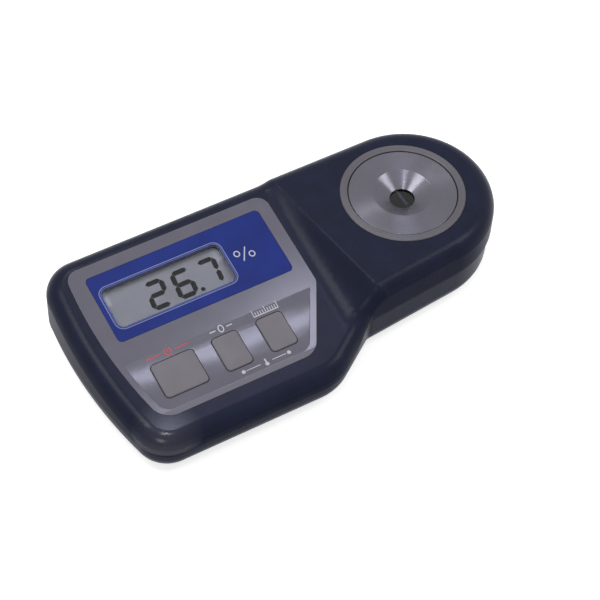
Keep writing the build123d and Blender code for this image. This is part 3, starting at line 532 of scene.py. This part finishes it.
# %% Finishes of the outside
stage_centre = (52.0, 9.8)
lip_end = back_edge + (bay_top - bay_height) * np.cos(lean)
# The lower navy is a little paler than the upper: painted light for the bounce of the white table on
# the lower band.
upper_navy, painted_lit_lower_navy = (0.0097, 0.0124, 0.0315), (0.0115, 0.0150, 0.0375)
panel_grey, lip_grey = (0.116, 0.113, 0.146), (0.172, 0.168, 0.200)
label_blue = (0.011, 0.026, 0.180)
stage_steel, ring_steel = (0.140, 0.137, 0.162), (0.115, 0.110, 0.122)
nut_metal = (0.5, 0.5, 0.51)
finishes = {
    "navy_shell": moulded_shell("navy_plastic", upper_navy, 0.30, 0.12, 0.018, 1.5, 0.5, 0.9),
    "grey_panel": lipped_film("panel_film", panel_grey, lip_grey, 0.14, 0.38, lip_end, 0.3),
    "blue_label": grained("label_print", label_blue, 0.40, 0.30, 0.003, 0.10, specular=0.12),
    "clear_window": clear_window("window_glass", (0.94, 0.95, 0.97)),
    "display_cell": grained("display_film", (0.51, 0.52, 0.57), 0.45, 0.20, 0.002, 0.04, specular=0.2),
    "grey_key": grained("key_rubber", (0.188, 0.175, 0.194), 0.65, 0.25, 0.008, 0.06, specular=0.2),
    "brushed_stage": turned_steel("turned_stage", stage_steel, stage_centre, 0.28, 0.3, 0.002, 0.82),
    "bright_ring": turned_steel("turned_ring", ring_steel, stage_centre, 0.5, 0.4, 0.003, 0.5),
    # The prism's nearly black tint is painted shade: it darkens what the glass shows of the white room.
    "prism_glass": solid_glass("prism_glass", (0.028, 0.034, 0.060), 1.42),
    "black_rubber": grained("soft_rubber", (0.012, 0.012, 0.014), 0.75, 0.4, 0.02, 0.25, specular=0.3),
    "steel_screw": grained("plated_steel", (0.45, 0.45, 0.46), 0.3, 0.3, 0.005, metal=1.0),
}
worn_corner = (-73.5, -37.5, 21.2)
wear_smooth(finishes["navy_shell"], worn_corner, 14.0, 0.42, 0.19)
# The tray's painted shade reaches 3 mm: it darkens the lower shell under the overhang of the upper one
# and near the table.
finishes["tray"] = moulded_shell("tray_plastic", painted_lit_lower_navy, 0.30, 0.12, 0.070, 3.0, 0.90, 1.0)
print("finishes of the outside:", len(finishes))

# %% [markdown]
# ### What is sealed inside
# The inside is made of the usual stuff of a small instrument: a green board with black chips and
# gold contacts, white and grey mouldings, lenses, a brass probe, a battery and its leads.

# %% Finishes of the inside
finishes |= {
    "machined_aluminium": turned_steel("machined_nut", nut_metal, stage_centre, 0.35, 0.5, 0.004, 0.5),
    "lens_glass": solid_glass("lens_glass", (0.85, 0.88, 0.92), 1.50),
    "grey_rubber": grained("silicone", (0.25, 0.25, 0.25), 0.6, 0.5, 0.01),
    "white_plastic": grained("white_moulding", (0.62, 0.61, 0.57), 0.5, 0.4, 0.01, 0.06),
    "green_board": tracked_board("board_lacquer"),
    "black_chip": grained("black_moulding", (0.015, 0.015, 0.016), 0.45, 0.3, 0.01, 0.2),
    "gold_contact": grained("gold_plate", (0.72, 0.50, 0.20), 0.28, 0.3, 0.003, metal=1.0),
    "lamp_resin": grained("amber_resin", (0.65, 0.36, 0.06), 0.15, 1.0, 0.003, 0.15),
    "probe_metal": grained("probe_brass", (0.55, 0.40, 0.18), 0.35, 0.3, 0.005, metal=1.0),
    "battery_jacket": battery_wrap("battery_wrap", -36.0, -25.6),
    "red_lead": grained("red_insulation", (0.40, 0.025, 0.02), 0.45, 0.6, 0.01),
    "black_lead": grained("black_insulation", (0.015, 0.015, 0.015), 0.45, 0.6, 0.01, 0.2),
    "flat_cable": grained("ribbon_insulation", (0.35, 0.35, 0.37), 0.45, 0.8, 0.01),
}
print("finishes in all:", len(finishes))

# %% [markdown]
# ### Inks
# Printing is matt and even. The dark bars of the display and their shadow are inks too, because
# what shows of a liquid crystal cell is a dark shape on a pale ground.


# %% Finishes: printing inks
def ink(name, colour, depth, contrast, specular=0.5):
    """Matt printing ink with a fine grain and an edge as thin as the ink itself."""
    return grained(name, colour, 0.5, 0.3, depth, contrast, specular=specular, edge=0.02)


prints = {
    "white_print": ink("white_print", (0.50, 0.50, 0.55), 0.003, 0.06),
    "line_print": ink("line_print", (0.20, 0.23, 0.40), 0.003, 0.06),
    "red_print": ink("red_print", (0.52, 0.050, 0.035), 0.003, 0.08),
    "dark_segment": ink("dark_segment", (0.006, 0.007, 0.007), 0.002, 0.10, 0.1),
    "segment_shadow": ink("segment_shadow", (0.28, 0.28, 0.33), 0.002, 0.04),
}
print("inks:", len(prints))

# %% [markdown]
# ## The solids get their finishes
# A solid that is already the right shape keeps its own mesh and only gets a finish. This also
# covers what is sealed inside, so that the inside is right in any section view. The lower shell
# and the battery cover come from other moulds than the upper shell and are a little glossier.
# Their navy is also painted a little paler, as painted light for the bounce from the table.

# %% Dress every solid
dress = {node: finishes[slot] for node, slot in slots.items()}
dress |= dict.fromkeys(("lower_case", "battery_cover"), finishes["tray"])
for node, piece in frame["nodes"].items():
    piece.data.materials.clear()
    piece.data.materials.append(dress[node])
print("dressed:", ", ".join(sorted(frame["nodes"])[:4]), "and the others")

# %% [markdown]
# ## Smooth shells
# The solids arrive as loose triangles, which would show as facets on rounded mouldings. The shape
# is right, so a copy is enough: its corners are welded, edges sharper than a limit stay sharp, and
# large faces are given the say in how the light turns over small ones.


# %% Welded copies of the rounded pieces
weld_reach = 0.0005


def welded_copy(node, name, angle):
    """Copy a solid with its equal corners made one: corners that round to the same place."""
    source = frame["nodes"][node].data
    places = np.empty(len(source.vertices) * 3)
    source.vertices.foreach_get("co", places)
    source.calc_loop_triangles()
    triangles = np.empty(len(source.loop_triangles) * 3, int)
    source.loop_triangles.foreach_get("vertices", triangles)
    keys = np.round(places.reshape(-1, 3) / (weld_reach * mm)).astype(np.int64)
    _, first, inverse = np.unique(keys, axis=0, return_index=True, return_inverse=True)
    faces = inverse.ravel()[triangles].reshape(-1, 3)
    whole = (faces != np.roll(faces, 1, axis=1)).all(axis=1)
    piece = add_mesh(name, places.reshape(-1, 3)[first], faces[whole])
    shade(piece, angle)
    weights = piece.modifiers.new("weights", "WEIGHTED_NORMAL")
    weights.keep_sharp = True
    weights.weight = 80
    piece.data.materials.append(dress[node])
    attach(piece, bodies[node], slots[node], node)
    return piece


copies = {
    "upper_case": ("upper_shell", 30.0),
    "lower_case": ("lower_shell", 30.0),
    "battery_cover": ("sliding_cover", 30.0),
    "front_panel": ("panel_plate", 3.0),
    "display_label": ("label_plate", 30.0),
    "start_key": ("start_cap", 30.0),
    "zero_key": ("zero_cap", 30.0),
    "scale_key": ("scale_cap", 30.0),
    "rubber_feet": ("feet", 30.0),
    "cover_foot": ("foot_on_cover", 30.0),
    "sample_stage": ("stage_disc", 25.0),
    "stage_ring": ("rim_ring", 25.0),
}
for node, (name, angle) in copies.items():
    piece = welded_copy(node, name, angle)
    print(name, "faces:", len(piece.data.polygons))

# %% [markdown]
# ## Printed marks
# Printing is a thin layer of ink, so each mark is a very thin solid that stands a few hundredths
# of a millimetre proud of its film. Two shapes cover everything: a band that follows a path, for
# lines and rings, and a flat plate with any outline, for dots and display segments. A drawn line
# would have no body, and an image would blur when the camera comes close.


# %% Helper: a band of ink
def band(path, width, low, high, loop=False):
    """Thin solid along a path of (u, v): left and right of it by half the width."""
    path = np.asarray(path, float)
    ahead = np.roll(path, -1, axis=0) - path
    behind = np.roll(ahead, 1, axis=0)
    if not loop:
        ahead[-1], behind[0] = behind[-1], ahead[0]
    ahead /= np.linalg.norm(ahead, axis=1, keepdims=True)
    behind /= np.linalg.norm(behind, axis=1, keepdims=True)
    # At a bend the sides reach out further, so that the band keeps its width.
    along = ahead + behind
    along /= (along * ahead).sum(axis=1, keepdims=True)
    side = np.stack([-along[:, 1], along[:, 0]], axis=1) * width / 2
    corners = [(path + side, low), (path + side, high), (path - side, high), (path - side, low)]
    points = np.stack([np.column_stack([uv, np.full(len(uv), w)]) for uv, w in corners], axis=1)
    faces = [grid_faces(len(path), 4, loop_rows=loop, loop_columns=True)]
    if not loop:
        last = 4 * (len(path) - 1)
        faces.append(np.array([[0, 3, 2, 1], [last, last + 1, last + 2, last + 3]]))
    return points.reshape(-1, 3), faces


# %% Helper: a plate of ink
def plate(outline, low, high):
    """Thin solid with a convex outline of (u, v), given anticlockwise."""
    outline = np.asarray(outline, float)
    count = len(outline)
    rings = [np.column_stack([outline, np.full(count, w)]) for w in (low, high)]
    turn = np.arange(count)
    return np.vstack(rings), [
        grid_faces(2, count, loop_columns=True),
        turn[::-1][None, :],
        (turn + count)[None, :],
    ]


# %% Helpers: round outlines
def ellipse(centre, wide, high, start=0.0, end=360.0, steps=48):
    """Points (centre + wide cos t, centre + high sin t); a full turn leaves out its last point."""
    whole = end - start >= 360.0
    angle = np.radians(np.linspace(start, end, steps, endpoint=not whole))
    return np.stack([centre[0] + wide * np.cos(angle), centre[1] + high * np.sin(angle)], axis=1)


def rounded_box(low, high, corner, steps=10):
    """Outline of a box with round corners: a quarter circle about each corner's centre."""
    quarter = np.radians(np.linspace(0, 90, steps))
    turns = np.radians([0, 90, 180, 270])[:, None] + quarter
    centres_u = np.array([high[0], low[0], low[0], high[0]]) + corner * np.array([-1, 1, 1, -1])
    centres_v = np.array([high[1], high[1], low[1], low[1]]) + corner * np.array([-1, -1, 1, 1])
    u = centres_u[:, None] + corner * np.cos(turns)
    v = centres_v[:, None] + corner * np.sin(turns)
    return np.stack([u.ravel(), v.ravel()], axis=1)


# %% Helper: one printed mark
def print_mark(name, shapes, print_name, slot, in_bay=False):
    """Join thin solids into one piece of ink on the display part."""
    points = np.vstack([shape[0] for shape in shapes])
    starts = np.cumsum([0] + [len(shape[0]) for shape in shapes])
    faces = [row for (_, parts), start in zip(shapes, starts) for part in parts for row in part + start]
    piece = add_mesh(name, on_display(points, in_bay), faces)
    piece.data.materials.append(prints[print_name])
    attach(piece, "case", slot)


# %% [markdown]
# ### The reading
# A liquid crystal digit has seven bars. Each bar is a slim hexagon, so neighbours meet in a mitre
# with a hair of light between them. The digits lean, and a paler copy just below them is the
# shadow that the bars throw on the reflector behind the glass.

# %% Sizes of a digit and its bars
digit_wide = 8.1
digit_high = 12.3
stroke = 1.9
hair = 0.06
slant = 0.095
first_left = -54.2
digit_foot = -34.25
digit_pitch = 10.85
cell_top = -2.8
in_wide = digit_wide - stroke
half_high = (digit_high - stroke) / 2
bar_ends = {
    "top": ((0, 2), (1, 2)),
    "upper_right": ((1, 1), (1, 2)),
    "lower_right": ((1, 0), (1, 1)),
    "bottom": ((0, 0), (1, 0)),
    "lower_left": ((0, 0), (0, 1)),
    "upper_left": ((0, 1), (0, 2)),
    "middle": ((0, 1), (1, 1)),
}
digit_bars = {
    "2": ("top", "upper_right", "middle", "lower_left", "bottom"),
    "6": ("top", "upper_left", "middle", "lower_left", "lower_right", "bottom"),
    "7": ("top", "upper_right", "lower_right"),
}


# %% Helper: the outline of one bar
def bar_outline(bar, left):
    """Hexagon round one bar: two points on its line and four beside it, then leaned over."""
    start, end = np.array(bar_ends[bar], float) * (in_wide, half_high) + stroke / 2
    along = (end - start) / np.linalg.norm(end - start)
    side = np.array([-along[1], along[0]]) * stroke / 2
    tip, shoulder = along * hair, along * (hair + stroke / 2)
    outline = np.array(
        [
            start + tip,
            start + shoulder - side,
            end - shoulder - side,
            end - tip,
            end - shoulder + side,
            start + shoulder + side,
        ]
    )
    return outline @ np.array([[1.0, 0.0], [slant, 1.0]]) + (left, digit_foot)


# %% Digits on the display cell
outlines = [
    bar_outline(bar, first_left + place * digit_pitch)
    for place, digit in enumerate("267")
    for bar in digit_bars[digit]
]
point_centre = (-33.5, digit_foot + stroke / 2)
outlines.append(ellipse(point_centre, stroke * 0.45, stroke * 0.45, steps=24))
shadow_shift = (0.30, -0.30)
shadow_layer = (cell_top + 0.005, cell_top + 0.015)
bar_layer = (cell_top + 0.02, cell_top + 0.05)
shadows = [plate(outline + shadow_shift, *shadow_layer) for outline in outlines]
segments = [plate(outline, *bar_layer) for outline in outlines]
print_mark("segment_shadows", shadows, "segment_shadow", "black_chip")
print_mark("display_segments", segments, "dark_segment", "black_chip")
print("segments:", len(segments))

# %% [markdown]
# ### Lines and signs on the label
# The window has two fine pale lines round it, and a percent sign tells what the number means. A
# ring, a ring and a slanted stroke make the sign.

# %% Lines round the window
window_low = (-69.1, -36.35)
window_high = (-20.9, -19.25)
window_corner = 2.5
ink_low, ink_high = 0.005, 0.03


def window_line(away, width):
    """Closed line round the window at a distance from its edge."""
    low = np.array(window_low) - away
    high = np.array(window_high) + away
    return band(rounded_box(low, high, window_corner + away), width, ink_low, ink_high, loop=True)


window_lines = [window_line(0.95, 0.30), window_line(0.30, 0.14)]
print_mark("window_lines", window_lines, "line_print", "white_plastic")
print("lines round the window:", len(window_lines))

# %% Percent sign
percent_line = 0.45
percent = [
    band(ellipse(centre, 1.05, 1.15), percent_line, ink_low, ink_high, loop=True)
    for centre in ((-16.15, -26.7), (-10.85, -28.9))
]
percent += [band([(-15.0, -30.5), (-12.0, -25.1)], percent_line, ink_low, ink_high)]
print_mark("percent_sign", percent, "white_print", "white_plastic")
print("strokes of the percent sign:", len(percent))

# %% [markdown]
# ### Signs for the keys
# Each key has a plain sign above it: a red power sign for start, a nought for setting zero and a
# small scale. Below the two right keys a line with a dot at each end and a thermometer between
# shows what they do together.

# %% Helpers: straight strokes
line = 0.42


def bars(ends, width=line):
    """Straight strokes of ink between pairs of points."""
    return [band(pair, width, ink_low, ink_high) for pair in ends]


def side_strokes(middle, v, near, far, width=line):
    """Two level strokes, from near to far on either side of a middle."""
    return bars([((middle + way * near, v), (middle + way * far, v)) for way in (-1, 1)], width)


# %% Start sign
sign_v = -52.0
start_u, zero_u, scale_u = -58.0, -36.3, -18.0
power_radius = 1.35
power_ring = ellipse((start_u, sign_v), power_radius, power_radius, 125, 415)
power = [band(power_ring, line, ink_low, ink_high)]
power += bars([((start_u, sign_v + 0.15), (start_u, sign_v + 1.75))])
power += side_strokes(start_u, sign_v, 2.9, 8.6)
print_mark("start_sign", power, "red_print", "red_lead", in_bay=True)
print("strokes of the start sign:", len(power))

# %% Zero sign
nought = [band(ellipse((zero_u, sign_v), 0.95, 1.35), line, ink_low, ink_high, loop=True)]
nought += side_strokes(zero_u, sign_v, 2.2, 4.6)
print_mark("zero_sign", nought, "white_print", "white_plastic", in_bay=True)
print("strokes of the zero sign:", len(nought))

# %% Scale sign
ticks = 11
tick_u = scale_u + np.linspace(-5.0, 5.0, ticks)
tick_top = sign_v + np.where(np.arange(ticks) % 5 == 0, 1.5, 0.6)
scale = bars([((u, sign_v - 1.0), (u, top)) for u, top in zip(tick_u, tick_top)], 0.3)
scale += bars([((scale_u - 5.15, sign_v - 1.1), (scale_u + 5.15, sign_v - 1.1))], 0.35)
print_mark("scale_sign", scale, "white_print", "white_plastic", in_bay=True)
print("strokes of the scale sign:", len(scale))

# %% Temperature sign
low_v = -71.25
middle_u = -27.85
dot = 0.75
dots = [(middle_u - 9.35, low_v), (middle_u + 9.35, low_v), (middle_u, low_v - dot)]
warmth = [plate(ellipse(centre, dot, dot), ink_low, ink_high) for centre in dots]
warmth += side_strokes(middle_u, low_v, 2.4, 8.2, 0.3)
warmth += bars([((middle_u, low_v - 0.5), (middle_u, low_v + 1.55))], 0.6)
print_mark("temperature_sign", warmth, "white_print", "white_plastic", in_bay=True)
print("signs:", sum(mesh.name.endswith("sign") for mesh in bpy.data.meshes))

# %% [markdown]
# ## The studio
# A white table and six soft lamps. The main lamp hangs high behind the display end and the side
# lamp high in front of the head. A low lamp lightens the front corner, a small high one draws the
# spot on its worn edge, and another lifts the back of the stage. A long strip lamp, a little
# cooler than the rest, draws the pale band between the keys. The camera, mirrors and clear pieces
# see a white room, and the lamps do the lighting.


# %% Helper: what the camera, mirrors and clear pieces see
def seen_plainly(nodes, links):
    """1 for rays from the camera, a mirror or a clear piece, and 0 for those that carry light."""
    path = nodes.new("ShaderNodeLightPath")
    seen = path.outputs["Is Camera Ray"]
    for kind in ("Is Glossy Ray", "Is Transmission Ray"):
        seen = add_math(nodes, links, "MAXIMUM", seen, path.outputs[kind])
    return seen


# %% Floor
reach, sink = 3.0, -0.05 * mm
floor_glow = 0.67
corners = [(-reach, -reach, sink), (reach, -reach, sink), (reach, reach, sink), (-reach, reach, sink)]
floor = add_mesh("floor", corners, [(0, 1, 2, 3)])
table, nodes, links, shader, place = start_finish("table_top")
cloud = add_noise(nodes, links, place, 300.0)
links.new(add_mix(nodes, links, cloud, np.full(3, 0.80), np.full(3, 0.82)), shader.inputs["Base Color"])
shader.inputs["Roughness"].default_value = 0.9
shader.inputs["Specular IOR Level"].default_value = 0.0
glow = nodes.new("ShaderNodeEmission")
strength = add_math(nodes, links, "MULTIPLY", seen_plainly(nodes, links), floor_glow)
links.new(strength, glow.inputs["Strength"])
both = nodes.new("ShaderNodeAddShader")
links.new(shader.outputs["BSDF"], both.inputs[0])
links.new(glow.outputs["Emission"], both.inputs[1])
set_surface(nodes, links, both.outputs["Shader"])
floor.data.materials.append(table)
print("floor reaches", reach, "m each way")

# %% White room
room_light = 0.38
world = bpy.data.worlds.new("room")
bpy.context.scene.world = world
world.use_nodes = True
nodes, links = world.node_tree.nodes, world.node_tree.links
room = next(node for node in nodes if node.type == "BACKGROUND")
room.inputs["Color"].default_value = (1.0, 1.0, 1.0, 1.0)
strength = add_range(nodes, links, seen_plainly(nodes, links), room_light, 1.0, 0.0, 1.0)
links.new(strength, room.inputs["Strength"])
print("light of the room:", room_light)


# %% Helper: a soft lamp
def add_lamp(name, place, aim, width, depth, power, swing=0.0, tint=(1.0, 1.0, 1.0)):
    """Soft rectangular lamp at place that shines at aim, its width swung from X by an angle."""
    data = bpy.data.lights.new(name, "AREA")
    data.shape = "RECTANGLE"
    data.size, data.size_y, data.energy = width, depth, power
    data.color = tint
    lamp = bpy.data.objects.new(name, data)
    bpy.context.scene.collection.objects.link(lamp)
    away = np.array(place, float) - np.array(aim, float)
    away /= np.linalg.norm(away)
    across = np.cross((-np.sin(np.radians(swing)), np.cos(np.radians(swing)), 0.0), away)
    across /= np.linalg.norm(across)
    lamp.matrix_world = standing(across, np.cross(away, across), away, place)


# %% Six lamps
add_lamp("main_lamp", (-0.28, 0.15, 0.66), (0.02, 0.0, 0.02), 0.26, 0.26, 1.3)
add_lamp("side_lamp", (0.46, -0.20, 0.60), (0.05, 0.0, 0.02), 0.22, 0.22, 0.85)
add_lamp("front_lamp", (-0.45, -0.50, 0.38), (-0.03, 0.0, 0.02), 0.20, 0.20, 0.5)
add_lamp("high_lamp", (-0.093, -0.190, 0.65), (-0.07, -0.03, 0.02), 0.08, 0.06, 0.33)
add_lamp("back_lamp", (0.06, 0.36, 0.63), (0.05, 0.01, 0.03), 0.06, 0.06, 0.42)
cool = (0.75, 0.75, 1.0)
add_lamp("strip_lamp", (0.145, 0.106, 0.63), (-0.04, -0.015, 0.03), 0.18, 0.048, 0.39, 20.0, cool)
bpy.context.scene.view_settings.view_transform = "Standard"
